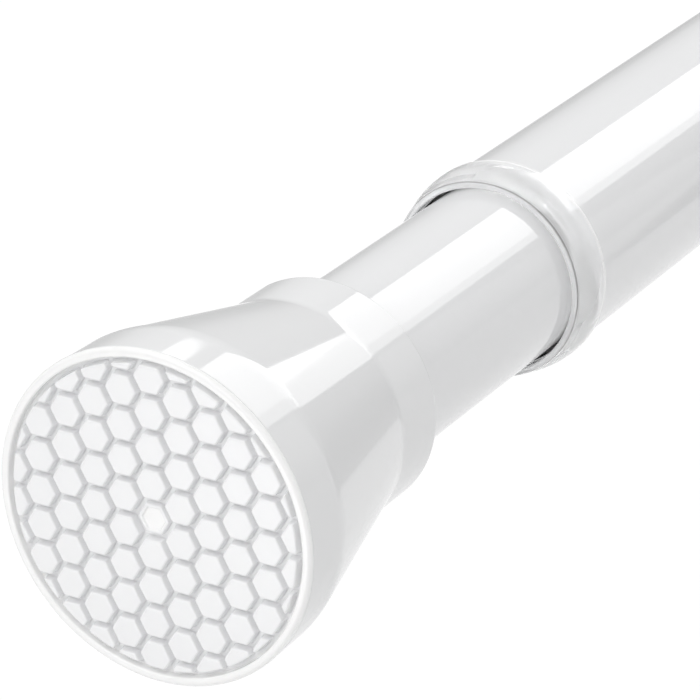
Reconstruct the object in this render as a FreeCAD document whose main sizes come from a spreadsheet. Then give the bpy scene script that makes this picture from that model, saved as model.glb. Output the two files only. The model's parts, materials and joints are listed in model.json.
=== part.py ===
import FreeCAD, Part
import math
import os
import Sketcher

# A spring tension rod: a thick tube with a thin tube screwed out of it on a
# spring-loaded spindle, and a flared cap with a honeycomb pad at each end.
# Lengths are in millimetres. The origin is the centre of the rear pad's wall
# face, +X runs along the rod to the front pad, and +Z is up. Every piece reads
# the sizes below, and what seats in another piece takes its size from that
# piece and a clearance.

SIZES = {
    "outer_tube_diameter": 25.0,
    "outer_tube_wall": 0.7,
    "outer_tube_length": 350.0,
    "tube_gap": 0.8,
    "inner_tube_wall": 0.6,
    "tube_overlap": 43.5,
    "bare_tube_length": 36.8,
    "cap_length": 35.7,
    "cap_flare": 5.04,
    "cap_band_length": 6.1,
    "cap_band_inset": 0.1,
    "cap_cone_length": 21.5,
    "cap_neck_wall": 1.06,
    "cap_cone_wall": 1.85,
    "cap_lip_width": 0.65,
    "cap_ledge_width": 0.7,
    "cap_crease_radius": 10.0,
    "cap_neck_fillet": 6.0,
    "cap_edge_radius": 0.4,
    "cap_cavity_depth": 17.0,
    "cap_rib_count": 6.0,
    "cap_rib_thickness": 1.4,
    "cap_rib_setback": 0.6,
    "socket_wall": 1.35,
    "socket_floor": 1.5,
    "tube_seat": 8.0,
    "pad_flange": 0.6,
    "pad_floor": 0.95,
    "pad_edge_radius": 0.5,
    "pad_stud_diameter": 4.0,
    "groove_depth": 0.95,
    "rim_width": 1.03,
    "rim_groove": 0.6,
    "cell_pitch": 3.925,
    "cell_width": 3.25,
    "gate_drop": 0.35,
    "gate_dimple_diameter": 1.8,
    "gate_dimple_depth": 0.3,
    "plate_thickness": 1.6,
    "plate_clip_length": 2.4,
    "plate_clip_width": 5.0,
    "plate_clip_thickness": 1.2,
    "plate_hook_length": 1.0,
    "snap_groove_depth": 0.5,
    "plate_clip_count": 3.0,
    "screw_diameter": 3.0,
    "screw_length": 12.0,
    "screw_head_diameter": 5.6,
    "screw_head_height": 2.2,
    "screw_head_round": 0.88,
    "screw_slot_length": 3.36,
    "screw_slot_width": 0.9,
    "screw_slot_depth": 1.1,
    "plug_length": 14.0,
    "plug_relief_depth": 5.0,
    "plug_skin": 2.0,
    "spring_spigot_length": 6.0,
    "collar_lip": 0.6,
    "collar_front_length": 2.0,
    "collar_skirt_length": 4.1,
    "collar_sleeve_length": 8.0,
    "collar_edge_radius": 0.5,
    "spindle_diameter": 8.0,
    "spindle_flat": 0.8,
    "head_thickness": 7.0,
    "head_spigot_length": 5.0,
    "head_pin_diameter": 3.0,
    "stop_ring_thickness": 4.0,
    "end_stop_thickness": 6.0,
    "end_stop_pin_diameter": 2.0,
    "spring_length": 51.1,
    "spring_wire": 1.8,
    "spring_gap": 0.5,
    "spring_turns": 9.0,
    "nut_shoulder": 2.0,
    "nut_grip_length": 22.0,
    "nut_groove_width": 3.0,
    "nut_groove_depth": 0.8,
    "nut_tail_step": 1.5,
    "guide_ring_length": 9.0,
    "guide_ring_wall": 3.1,
    "guide_slit": 1.2,
    "retainer_thickness": 2.5,
    "retainer_margin": 1.3,
    "press_length": 24.0,
    "retract_length": 12.0,
    "stop_gap": 0.5,
    "press_clearance": 0.05,
    "running_clearance": 0.1,
    "loose_clearance": 0.3,
    "side_play": 0.2,
}

SHEET = "Sizes"
EMBED = 0.2
REAR_ANGLE = 0.0
FRONT_ANGLE = 180.0
ROOT_3 = math.sqrt(3)
CLIPPED_SHARE = 0.75


class Length:
    """A length as a formula of the sheet's cells, with its present value."""

    def __init__(self, text, value):
        self.text = text
        self.value = value

    def joined(self, sign, other, value):
        return Length(f"({self.text} {sign} {as_length(other).text})", value)

    def __add__(self, other):
        return self.joined("+", other, self.value + as_length(other).value)

    def __radd__(self, other):
        return as_length(other) + self

    def __sub__(self, other):
        return self.joined("-", other, self.value - as_length(other).value)

    def __rsub__(self, other):
        return as_length(other) - self

    def __mul__(self, factor):
        return self.joined("*", factor, self.value * as_length(factor).value)

    def __rmul__(self, factor):
        return as_length(factor) * self

    def __truediv__(self, divisor):
        return self.joined("/", divisor, self.value / as_length(divisor).value)


def as_length(value):
    return value if isinstance(value, Length) else Length(repr(float(value)), float(value))


def size(name):
    return Length(f"{SHEET}.{name}", SIZES[name])


doc = FreeCAD.newDocument("tension_rod")


def fill_sheet():
    sheet = doc.addObject("Spreadsheet::Sheet", SHEET)
    for row, (name, value) in enumerate(SIZES.items(), start=1):
        sheet.set(f"A{row}", name)
        sheet.set(f"B{row}", str(value))
        sheet.setAlias(f"B{row}", name)
    doc.recompute()


# Radii and places along the rod that several pieces share.

outer_radius = size("outer_tube_diameter") / 2
outer_bore = outer_radius - size("outer_tube_wall")
inner_radius = outer_bore - size("tube_gap")
inner_bore = inner_radius - size("inner_tube_wall")
socket_radius = outer_radius + size("press_clearance")
neck_radius = socket_radius + size("cap_neck_wall")
cap_radius = neck_radius + size("cap_flare")
band_radius = cap_radius - size("cap_band_inset")
hollow_radius = band_radius - size("cap_cone_wall")
lip_radius = cap_radius - size("cap_lip_width")
ledge_radius = lip_radius - size("cap_ledge_width")
screw_radius = size("screw_diameter") / 2
spindle_radius = size("spindle_diameter") / 2
spindle_bore = spindle_radius + size("running_clearance")
spring_radius = outer_bore - size("spring_gap") - size("spring_wire") / 2
spigot_radius = spring_radius - size("spring_wire") / 2 - size("loose_clearance")
guide_radius = outer_bore - size("running_clearance")
guide_bore = guide_radius - size("guide_ring_wall")
journal_radius = guide_bore - size("running_clearance")
tail_radius = journal_radius - size("nut_tail_step")

pad_back = size("groove_depth") + size("pad_floor")
plate_back = pad_back + size("plate_thickness")
hook_front = plate_back + size("plate_clip_length")
hook_back = hook_front - size("plate_hook_length")
socket_front = size("tube_seat") - size("socket_floor")
tube_mouth = size("tube_seat") + size("outer_tube_length")
collar_front = tube_mouth + size("collar_front_length")
rest_length = collar_front + size("bare_tube_length") + size("cap_length")
spring_seat = size("tube_seat") + size("plug_length")
head_back = spring_seat + size("spring_length")
head_front = head_back + size("head_thickness")
stop_front = head_front + size("stop_ring_thickness")
nut_rear = stop_front + size("press_length") + size("retract_length") + size("stop_gap")
journal_back = nut_rear + size("retainer_thickness")
journal_front = journal_back + size("guide_ring_length") + size("side_play") * 2
inner_rear = journal_front + size("nut_shoulder")
nut_front = inner_rear + size("nut_grip_length")
extension = tube_mouth - size("tube_overlap") - inner_rear
end_stop_back = nut_front + extension + size("stop_gap")
spindle_back = head_back - size("head_spigot_length") / 2
spindle_front = end_stop_back + size("end_stop_thickness")
head_pin_place = head_back + size("head_thickness") / 2
stop_pin_place = end_stop_back + size("end_stop_thickness") / 2


def set_size(item, name, length):
    length = as_length(length)
    item.setExpression(name, length.text)


def origin_plane(body, role):
    return next(plane for plane in body.Origin.OriginFeatures if plane.Role == role)


def new_body(name):
    body = doc.addObject("PartDesign::Body", name + "_body")
    body.Label = name
    return body


def new_sketch(body, role, name):
    sketch = body.newObject("Sketcher::SketchObject", name)
    sketch.AttachmentSupport = [(origin_plane(body, role), "")]
    sketch.MapMode = "FlatFace"
    return sketch


def pin_point(sketch, line, across, up):
    """Ties the start of a line to the sheet: its place across and up from the origin."""
    for kind, place, axis in (("DistanceX", across, -2), ("DistanceY", up, -1)):
        if as_length(place).value == 0 and not isinstance(place, Length):
            sketch.addConstraint(Sketcher.Constraint("PointOnObject", line, 1, axis))
            continue
        place = as_length(place)
        number = sketch.addConstraint(Sketcher.Constraint(kind, line, 1, place.value))
        sketch.setExpression(f"Constraints[{number}]", place.text)


def draw_outline(body, role, name, points):
    """A closed outline of straight lines, each corner tied to the sheet."""
    sketch = new_sketch(body, role, name)
    spots = [FreeCAD.Vector(as_length(x).value, as_length(y).value, 0) for x, y in points]
    ends = spots[1:] + spots[:1]
    first = sketch.GeometryCount
    for start, end in zip(spots, ends):
        sketch.addGeometry(Part.LineSegment(start, end), False)
    count = len(spots)
    joins = [
        Sketcher.Constraint("Coincident", first + i, 2, first + (i + 1) % count, 1)
        for i in range(count)
    ]
    sketch.addConstraint(joins)
    for i, (x, y) in enumerate(points):
        pin_point(sketch, first + i, x, y)
    return sketch


def turn(body, points, name="turned"):
    """Turns an outline of (place along the rod, radius) corners about the rod's axis."""
    sketch = draw_outline(body, "XZ_Plane", name + "_outline", points)
    feature = body.newObject("PartDesign::Revolution", name)
    feature.Profile = sketch
    feature.ReferenceAxis = (sketch, ["H_Axis"])
    feature.Angle = 360
    doc.recompute()
    return feature


def ring_edges(shape, corners):
    """The names of the circular edges at these (place, radius) corners."""
    names = []
    for number, edge in enumerate(shape.Edges, start=1):
        if not isinstance(edge.Curve, Part.Circle):
            continue
        for place, radius in corners:
            along = abs(edge.Curve.Center.x - as_length(place).value) < 0.001
            if along and abs(edge.Curve.Radius - as_length(radius).value) < 0.001:
                names.append(f"Edge{number}")
    return names


def round_rings(body, corners, radius, name):
    base = body.Tip
    fillet = body.newObject("PartDesign::Fillet", name)
    fillet.Base = (base, ring_edges(base.Shape, corners))
    set_size(fillet, "Radius", radius)
    doc.recompute()
    return fillet


def repeat_round(body, feature, count, name):
    """Repeats a feature evenly round the rod's axis."""
    pattern = body.newObject("PartDesign::PolarPattern", name)
    pattern.Originals = [feature]
    pattern.Axis = (origin_plane(body, "X_Axis"), [""])
    pattern.Angle = 360
    set_size(pattern, "Occurrences", count)
    body.Tip = pattern
    doc.recompute()
    return pattern


def place(item, along, turned=REAR_ANGLE):
    """Sets a piece at its place along the rod; turned half round about +Z it faces back."""
    spin = FreeCAD.Rotation(FreeCAD.Vector(0, 0, 1), turned)
    item.Placement = FreeCAD.Placement(FreeCAD.Vector(as_length(along).value, 0, 0), spin)
    set_size(item, "Placement.Base.x", along)


def sleeve(name, back, front, bore, radius, along=0.0, turned=REAR_ANGLE):
    body = new_body(name)
    turn(body, [(back, bore), (front, bore), (front, radius), (back, radius)])
    place(body, along, turned)
    return body


# Each end piece is drawn from the wall face inwards, and the front ones are
# then turned round to face the other wall.


def cap(name, along, turned):
    """The flared cap: a short band, a straight cone and a neck, hollow behind the pad."""
    band_end = size("pad_flange") + size("cap_band_length")
    cone_end = band_end + size("cap_cone_length")
    snap_radius = hollow_radius + size("snap_groove_depth")
    snap_front = hook_front + size("side_play")
    socket_outer = socket_radius + size("socket_wall")
    slope = (band_radius - neck_radius) / size("cap_cone_length")
    cavity_run = size("cap_cavity_depth") - band_end
    cavity_radius = hollow_radius - slope * cavity_run
    hole = screw_radius + size("running_clearance")
    body = new_body(name)
    turn(
        body,
        [
            (size("pad_flange"), cap_radius),
            (band_end, band_radius),
            (cone_end, neck_radius),
            (size("cap_length"), neck_radius),
            (size("cap_length"), socket_radius),
            (size("tube_seat"), socket_radius),
            (size("tube_seat"), hole),
            (socket_front, hole),
            (socket_front, socket_outer),
            (size("cap_cavity_depth"), socket_outer),
            (size("cap_cavity_depth"), cavity_radius),
            (band_end, hollow_radius),
            (snap_front, hollow_radius),
            (snap_front, snap_radius),
            (hook_back, snap_radius),
            (hook_back, hollow_radius),
            (plate_back, hollow_radius),
            (plate_back, ledge_radius),
            (pad_back, ledge_radius),
            (pad_back, lip_radius),
            (size("pad_flange"), lip_radius),
        ],
    )
    crease = [(band_end, band_radius)]
    round_rings(body, crease, size("cap_crease_radius"), "crease")
    round_rings(body, [(cone_end, neck_radius)], size("cap_neck_fillet"), "neck_fillet")
    neck_end = [(size("cap_length"), neck_radius)]
    round_rings(body, neck_end, size("cap_edge_radius"), "neck_edge")
    rib_front = socket_front + size("cap_rib_setback")
    rib_back = size("cap_cavity_depth") + EMBED
    rib_foot = socket_outer - EMBED
    front_reach = hollow_radius - slope * (rib_front - band_end) + EMBED
    back_reach = cavity_radius + EMBED
    outline = draw_outline(
        body,
        "XZ_Plane",
        "rib_outline",
        [
            (rib_front, rib_foot),
            (rib_back, rib_foot),
            (rib_back, back_reach),
            (rib_front, front_reach),
        ],
    )
    rib = body.newObject("PartDesign::Pad", "rib")
    rib.Profile = outline
    rib.SideType = "Symmetric"
    set_size(rib, "Length", size("cap_rib_thickness"))
    doc.recompute()
    repeat_round(body, rib, size("cap_rib_count"), "ribs")
    place(body, along, turned)
    return body


def cell_centres():
    """The honeycomb's rows and columns: (column, half rows up) of each cell near the pad."""
    pitch = size("cell_pitch").value
    reach = (cap_radius - size("rim_width") - size("rim_groove")).value
    column_step = pitch * ROOT_3 / 2
    columns = int(reach / column_step) + 1
    rows = int(reach / pitch) + 1
    corner = size("cell_width").value / ROOT_3
    for column in range(-columns, columns + 1):
        for row in range(-rows - 1, rows + 1):
            halves = 2 * row + column % 2
            centre = math.hypot(column * column_step, halves * pitch / 2)
            if centre < reach + corner * CLIPPED_SHARE:
                yield column, halves, centre + corner > reach


def hexagon(name, column, halves, drop):
    """One raised cell, standing on the pad's floor with its corners to left and right."""
    prism = doc.addObject("Part::Prism", name)
    prism.Polygon = 6
    set_size(prism, "Circumradius", size("cell_width") / ROOT_3)
    set_size(prism, "Height", size("groove_depth") - drop + EMBED)
    along_x = FreeCAD.Rotation(FreeCAD.Vector(0, 0, 1), FreeCAD.Vector(1, 0, 0))
    corner_sideways = FreeCAD.Rotation(FreeCAD.Vector(1, 0, 0), 90)
    prism.Placement = FreeCAD.Placement(FreeCAD.Vector(0, 0, 0), corner_sideways * along_x)
    set_size(prism, "Placement.Base.x", drop)
    set_size(prism, "Placement.Base.y", size("cell_pitch") * (column * ROOT_3 / 2))
    set_size(prism, "Placement.Base.z", size("cell_pitch") * (halves / 2))
    return prism


def axis_cylinder(name, back, length, radius):
    """A plain cylinder on the rod's axis, from its back face on."""
    cylinder = doc.addObject("Part::Cylinder", name)
    turned = FreeCAD.Rotation(FreeCAD.Vector(0, 1, 0), 90)
    cylinder.Placement = FreeCAD.Placement(FreeCAD.Vector(0, 0, 0), turned)
    set_size(cylinder, "Placement.Base.x", back)
    set_size(cylinder, "Height", length)
    set_size(cylinder, "Radius", radius)
    return cylinder


def cut(name, base, tool):
    result = doc.addObject("Part::Cut", name)
    result.Base = base
    result.Tool = tool
    return result


def pad(name, along, turned):
    """The soft pad: raised honeycomb cells inside a rim, and a flange over the cap's lip."""
    rim_radius = cap_radius - size("rim_width")
    plug_radius = lip_radius - size("press_clearance")
    stud_radius = size("pad_stud_diameter") / 2
    base = new_body(name + "_base")
    turn(
        base,
        [
            (size("groove_depth"), 0),
            (size("groove_depth"), rim_radius),
            (0, rim_radius),
            (0, cap_radius),
            (size("pad_flange"), cap_radius),
            (size("pad_flange"), plug_radius),
            (pad_back, plug_radius),
            (pad_back, stud_radius),
            (plate_back, stud_radius),
            (plate_back, 0),
        ],
    )
    round_rings(base, [(0, cap_radius)], size("pad_edge_radius"), "rim_edge")
    whole, clipped = [], []
    for column, halves, crosses in cell_centres():
        if column == 0 and halves == 0:
            continue
        cell_name = f"{name}_cell_{len(whole) + len(clipped)}"
        cell = hexagon(cell_name, column, halves, as_length(0))
        (clipped if crosses else whole).append(cell)
    gate = hexagon(name + "_gate_cell", 0, 0, size("gate_drop"))
    dimple = axis_cylinder(
        name + "_dimple",
        size("gate_drop") - EMBED,
        size("gate_dimple_depth") + EMBED,
        size("gate_dimple_diameter") / 2,
    )
    whole.append(cut(name + "_gate", gate, dimple))
    edge_cells = doc.addObject("Part::Compound", name + "_edge_cells")
    edge_cells.Links = clipped
    field_length = size("groove_depth") + EMBED + EMBED
    field_radius = rim_radius - size("rim_groove")
    field = axis_cylinder(name + "_field", -EMBED, field_length + EMBED, field_radius)
    clip = doc.addObject("Part::Common", name + "_clipped")
    clip.Base = edge_cells
    clip.Tool = field
    fused = doc.addObject("Part::MultiFuse", name + "_fused")
    fused.Shapes = [base, clip] + whole
    fused.Label = name
    fused.Refine = False
    place(fused, along, turned)
    return fused


def pad_plate(name, along, turned):
    """The hard disc behind the pad, with clips that hook into the cap's snap groove."""
    plate_radius = ledge_radius - size("press_clearance")
    hole = size("pad_stud_diameter") / 2 + size("press_clearance")
    arm_top = hollow_radius - size("loose_clearance")
    arm_foot = arm_top - size("plate_clip_thickness")
    hook_top = hollow_radius + size("snap_groove_depth") - size("loose_clearance")
    body = new_body(name)
    turn(
        body,
        [(pad_back, hole), (plate_back, hole), (plate_back, plate_radius), (pad_back, plate_radius)],
    )
    outline = draw_outline(
        body,
        "XZ_Plane",
        "clip_outline",
        [
            (plate_back - EMBED, arm_foot),
            (hook_front, arm_foot),
            (hook_front, arm_top),
            (hook_back + size("side_play"), hook_top),
            (hook_back, hook_top),
            (hook_back, arm_top),
            (plate_back - EMBED, arm_top),
        ],
    )
    clip = body.newObject("PartDesign::Pad", "clip")
    clip.Profile = outline
    clip.SideType = "Symmetric"
    set_size(clip, "Length", size("plate_clip_width"))
    doc.recompute()
    repeat_round(body, clip, size("plate_clip_count"), "clips")
    place(body, along, turned)
    return body


def cap_screw(name, along, turned):
    """The pan-head screw that holds the cap to the plug in the tube's end."""
    head_radius = size("screw_head_diameter") / 2
    head_face = socket_front - size("screw_head_height")
    tip = socket_front + size("screw_length")
    body = new_body(name)
    turn(
        body,
        [
            (head_face, 0),
            (head_face, head_radius),
            (socket_front, head_radius),
            (socket_front, screw_radius),
            (tip - screw_radius, screw_radius),
            (tip, 0),
        ],
    )
    round_rings(body, [(head_face, head_radius)], size("screw_head_round"), "head_round")
    arm = size("screw_slot_length") / 2
    for role, label in (("XZ_Plane", "slot_a"), ("XY_Plane", "slot_b")):
        outline = draw_outline(
            body,
            role,
            label + "_outline",
            [
                (head_face - EMBED, as_length(0) - arm),
                (head_face + size("screw_slot_depth"), as_length(0) - arm),
                (head_face + size("screw_slot_depth"), arm),
                (head_face - EMBED, arm),
            ],
        )
        slot = body.newObject("PartDesign::Pocket", label)
        slot.Profile = outline
        slot.SideType = "Symmetric"
        set_size(slot, "Length", size("screw_slot_width"))
        doc.recompute()
    place(body, along, turned)
    return body


def tube_plug(name, tube_bore, spigot, along, turned):
    """The plug in a tube's end: it takes the cap's screw, and at the rear it seats the spring."""
    radius = tube_bore - size("press_clearance")
    hole = screw_radius + size("press_clearance") / 2
    back = size("tube_seat")
    front = back + size("plug_length")
    relief = back + size("plug_relief_depth")
    skin = radius - size("plug_skin")
    core = hole + size("plug_skin")
    points = [
        (back, hole),
        (back, core),
        (relief, core),
        (relief, skin),
        (back, skin),
        (back, radius),
        (front, radius),
    ]
    if spigot:
        spigot_end = front + size("spring_spigot_length")
        points += [(front, spigot_radius), (spigot_end, spigot_radius), (spigot_end, hole)]
    else:
        points += [(front, hole)]
    body = new_body(name)
    turn(body, points)
    place(body, along, turned)
    return body


def collar():
    """The clear collar: a sleeve in the thick tube's mouth, a front ring and a skirt outside."""
    radius = outer_radius + size("collar_lip")
    bore = inner_radius + size("running_clearance")
    sleeve_radius = outer_bore - size("press_clearance")
    skirt_bore = outer_radius + size("press_clearance")
    sleeve_back = tube_mouth - size("collar_sleeve_length")
    skirt_back = tube_mouth - size("collar_skirt_length")
    body = new_body("collar")
    turn(
        body,
        [
            (sleeve_back, bore),
            (collar_front, bore),
            (collar_front, radius),
            (skirt_back, radius),
            (skirt_back, skirt_bore),
            (tube_mouth, skirt_bore),
            (tube_mouth, sleeve_radius),
            (sleeve_back, sleeve_radius),
        ],
    )
    round_rings(body, [(collar_front, radius)], size("collar_edge_radius"), "front_edge")
    return body


def flatted_bar(name, back, front, radius, flat):
    """A round bar on the rod's axis with one flat along its top."""
    body = new_body(name)
    turn(body, [(back, 0), (front, 0), (front, radius), (back, radius)])
    trim(body, back, front, radius, flat)
    return body


def trim(body, back, front, radius, flat):
    """Cuts everything above the flat off the bar."""
    level = radius - flat
    outline = draw_outline(
        body,
        "XZ_Plane",
        "flat_outline",
        [
            (back - EMBED, level),
            (front + EMBED, level),
            (front + EMBED, radius + EMBED),
            (back - EMBED, radius + EMBED),
        ],
    )
    flat_cut = body.newObject("PartDesign::Pocket", "flat")
    flat_cut.Profile = outline
    flat_cut.SideType = "Symmetric"
    set_size(flat_cut, "Length", radius * 2 + EMBED)
    doc.recompute()


def keyed_bore(name, blank, back, front, side):
    """Cuts the spindle's own section, with a clearance, through a turned blank."""
    bar = flatted_bar(
        name + "_key", back - EMBED, front + EMBED, spindle_radius + side, size("spindle_flat")
    )
    result = cut(name + "_keyed", blank, bar)
    blank.Label = name + "_blank"
    return result


def cross_hole(name, blank, centre, diameter):
    """Drills a pin's hole through a piece, across the rod."""
    drill = doc.addObject("Part::Cylinder", name + "_drill")
    sideways = FreeCAD.Rotation(FreeCAD.Vector(1, 0, 0), 90)
    drill.Placement = FreeCAD.Placement(FreeCAD.Vector(0, 0, 0), sideways)
    set_size(drill, "Placement.Base.x", centre)
    set_size(drill, "Placement.Base.y", outer_radius)
    set_size(drill, "Height", size("outer_tube_diameter"))
    set_size(drill, "Radius", diameter / 2 + size("press_clearance") / 2)
    return cut(name + "_drilled", blank, drill)


def cross_pin(name, centre, diameter, length):
    body = doc.addObject("Part::Cylinder", name + "_pin")
    body.Label = name
    sideways = FreeCAD.Rotation(FreeCAD.Vector(1, 0, 0), 90)
    body.Placement = FreeCAD.Placement(FreeCAD.Vector(0, 0, 0), sideways)
    set_size(body, "Placement.Base.x", centre)
    set_size(body, "Placement.Base.y", length / 2)
    set_size(body, "Height", length)
    set_size(body, "Radius", diameter / 2)
    return body


def spindle():
    """The screwed spindle's bar, at the thread's outside diameter, with a flat along it."""
    bar = flatted_bar(
        "spindle_bar", spindle_back, spindle_front, spindle_radius, size("spindle_flat")
    )
    at_head = cross_hole("spindle_head", bar, head_pin_place, size("head_pin_diameter"))
    at_stop = cross_hole("spindle_stop", at_head, stop_pin_place, size("end_stop_pin_diameter"))
    at_stop.Label = "spindle"
    return at_stop


def thrust_head():
    """The head that the spring pushes, keyed and pinned to the spindle."""
    radius = outer_bore - size("running_clearance")
    spigot_end = head_back - size("head_spigot_length")
    body = new_body("thrust_head_blank")
    turn(
        body,
        [
            (spigot_end, 0),
            (spigot_end, spigot_radius),
            (head_back, spigot_radius),
            (head_back, radius),
            (head_front, radius),
            (head_front, 0),
        ],
    )
    keyed = keyed_bore("thrust_head", body, spindle_back, head_front, size("press_clearance"))
    drilled = cross_hole("thrust_head", keyed, head_pin_place, size("head_pin_diameter"))
    drilled.Label = "thrust_head"
    return drilled


def stop_ring():
    """The ring fixed in the thick tube that stops the head and keeps the spindle from turning."""
    radius = outer_bore - size("press_clearance")
    body = new_body("stop_ring_blank")
    turn(body, [(head_front, 0), (head_front, radius), (stop_front, radius), (stop_front, 0)])
    ring = keyed_bore("stop_ring", body, head_front, stop_front, size("running_clearance"))
    ring.Label = "stop_ring"
    return ring


def end_stop():
    """The stop on the spindle's tip, which keeps the nut on it and rides in the thin tube."""
    radius = inner_bore - size("loose_clearance")
    body = new_body("end_stop_blank")
    turn(
        body,
        [(end_stop_back, 0), (end_stop_back, radius), (spindle_front, radius), (spindle_front, 0)],
    )
    keyed = keyed_bore("end_stop", body, end_stop_back, spindle_front, size("press_clearance"))
    drilled = cross_hole("end_stop", keyed, stop_pin_place, size("end_stop_pin_diameter"))
    drilled.Label = "end_stop"
    return drilled


def tension_spring():
    """The compression spring between the rear plug and the thrust head."""
    wire = size("spring_wire") / 2
    helix = doc.addObject("Part::Helix", "spring_path")
    rise = size("spring_length") - size("spring_wire")
    set_size(helix, "Pitch", rise / size("spring_turns"))
    set_size(helix, "Height", rise)
    set_size(helix, "Radius", spring_radius)
    circle = doc.addObject("Part::Circle", "spring_section")
    set_size(circle, "Radius", wire)
    upright = FreeCAD.Rotation(FreeCAD.Vector(1, 0, 0), 90)
    circle.Placement = FreeCAD.Placement(FreeCAD.Vector(0, 0, 0), upright)
    set_size(circle, "Placement.Base.x", spring_radius)
    doc.recompute()
    sweep = doc.addObject("Part::Sweep", "spring_sweep")
    sweep.Sections = [circle]
    sweep.Spine = (helix, [f"Edge{i + 1}" for i in range(len(helix.Shape.Edges))])
    sweep.Solid = True
    sweep.Frenet = True
    sweep.Label = "tension_spring"
    along_x = FreeCAD.Rotation(FreeCAD.Vector(0, 1, 0), 90)
    sweep.Placement = FreeCAD.Placement(FreeCAD.Vector(0, 0, 0), along_x)
    set_size(sweep, "Placement.Base.x", spring_seat + wire)
    return sweep


def drive_nut():
    """The nut in the thin tube's rear end: grip, shoulder, journal and tail."""
    grip = inner_bore - size("press_clearance")
    groove = grip - size("nut_groove_depth")
    groove_back = inner_rear + size("nut_grip_length") / 2 - size("nut_groove_width") / 2
    groove_front = groove_back + size("nut_groove_width")
    body = new_body("drive_nut")
    turn(
        body,
        [
            (nut_rear, spindle_bore),
            (nut_rear, tail_radius),
            (journal_back, tail_radius),
            (journal_back, journal_radius),
            (journal_front, journal_radius),
            (journal_front, inner_radius),
            (inner_rear, inner_radius),
            (inner_rear, grip),
            (groove_back, grip),
            (groove_back, groove),
            (groove_front, groove),
            (groove_front, grip),
            (nut_front, grip),
            (nut_front, spindle_bore),
        ],
    )
    return body


def guide_ring():
    """The split ring that runs in the thick tube while the nut turns inside it."""
    back = journal_back + size("side_play")
    front = back + size("guide_ring_length")
    body = new_body("guide_ring")
    turn(
        body,
        [(back, guide_bore), (back, guide_radius), (front, guide_radius), (front, guide_bore)],
    )
    outline = draw_outline(
        body,
        "XZ_Plane",
        "slit_outline",
        [
            (back - EMBED, guide_bore - EMBED),
            (front + EMBED, guide_bore - EMBED),
            (front + EMBED, guide_radius + EMBED),
            (back - EMBED, guide_radius + EMBED),
        ],
    )
    slit = body.newObject("PartDesign::Pocket", "slit")
    slit.Profile = outline
    slit.SideType = "Symmetric"
    set_size(slit, "Length", size("guide_slit"))
    doc.recompute()
    return body


def nut_retainer():
    """The ring pressed on the nut's tail that keeps the guide ring on its journal."""
    return sleeve(
        "nut_retainer",
        nut_rear,
        journal_back,
        tail_radius + size("press_clearance"),
        outer_bore - size("retainer_margin"),
    )


def rear_pieces():
    seat = size("tube_seat")
    return [
        pad("rear_pad", 0.0, REAR_ANGLE),
        pad_plate("rear_pad_plate", 0.0, REAR_ANGLE),
        cap("rear_cap", 0.0, REAR_ANGLE),
        cap_screw("rear_cap_screw", 0.0, REAR_ANGLE),
        tube_plug("rear_plug", outer_bore, True, 0.0, REAR_ANGLE),
        sleeve("outer_tube", seat, tube_mouth, outer_bore, outer_radius),
        collar(),
        stop_ring(),
    ]


def spindle_pieces():
    head_pin_length = (outer_bore - size("running_clearance") - size("plug_skin")) * 2
    stop_pin_length = (inner_bore - size("loose_clearance") - size("plug_skin")) * 2
    return [
        spindle(),
        thrust_head(),
        cross_pin("head_pin", head_pin_place, size("head_pin_diameter"), head_pin_length),
        end_stop(),
        cross_pin("end_stop_pin", stop_pin_place, size("end_stop_pin_diameter"), stop_pin_length),
        tension_spring(),
    ]


def inner_pieces():
    tube_front = rest_length - size("tube_seat")
    adapter_bore = inner_radius + size("press_clearance")
    return [
        guide_ring(),
        drive_nut(),
        nut_retainer(),
        sleeve("inner_tube", inner_rear, tube_front, inner_bore, inner_radius),
        tube_plug("front_plug", inner_bore, False, rest_length, FRONT_ANGLE),
        sleeve(
            "front_adapter",
            size("tube_seat"),
            size("cap_length"),
            adapter_bore,
            outer_radius,
            rest_length,
            FRONT_ANGLE,
        ),
        cap_screw("front_cap_screw", rest_length, FRONT_ANGLE),
        cap("front_cap", rest_length, FRONT_ANGLE),
        pad_plate("front_pad_plate", rest_length, FRONT_ANGLE),
        pad("front_pad", rest_length, FRONT_ANGLE),
    ]


def check(pieces):
    for item in doc.Objects:
        if "Invalid" in item.State or "Error" in item.State:
            raise RuntimeError(f"{item.Label} is in state {item.State}")
    for piece in pieces:
        shape = piece.Shape
        if shape.isNull() or not shape.isValid() or not shape.Solids:
            raise RuntimeError(f"{piece.Label} has no valid solid")


def main():
    fill_sheet()
    pieces = rear_pieces() + spindle_pieces() + inner_pieces()
    doc.recompute()
    check(pieces)
    os.makedirs("parts", exist_ok=True)
    for piece in pieces:
        piece.Shape.exportStep(f"parts/{piece.Label}.step")
        print(f"{piece.Label}: {piece.Shape.Volume / 1000:.2f} cm3, {len(piece.Shape.Solids)} solid")


main()
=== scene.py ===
"""The looks of a spring tension rod: lacquered tubes, flared caps with honeycomb
pads, a clear collar, and the screw and spring inside, in a white studio.

Lengths here are in metres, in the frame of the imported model: +X runs along the
rod from the rear pad's wall face, and +Z is up.
"""

import json
import math

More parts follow.
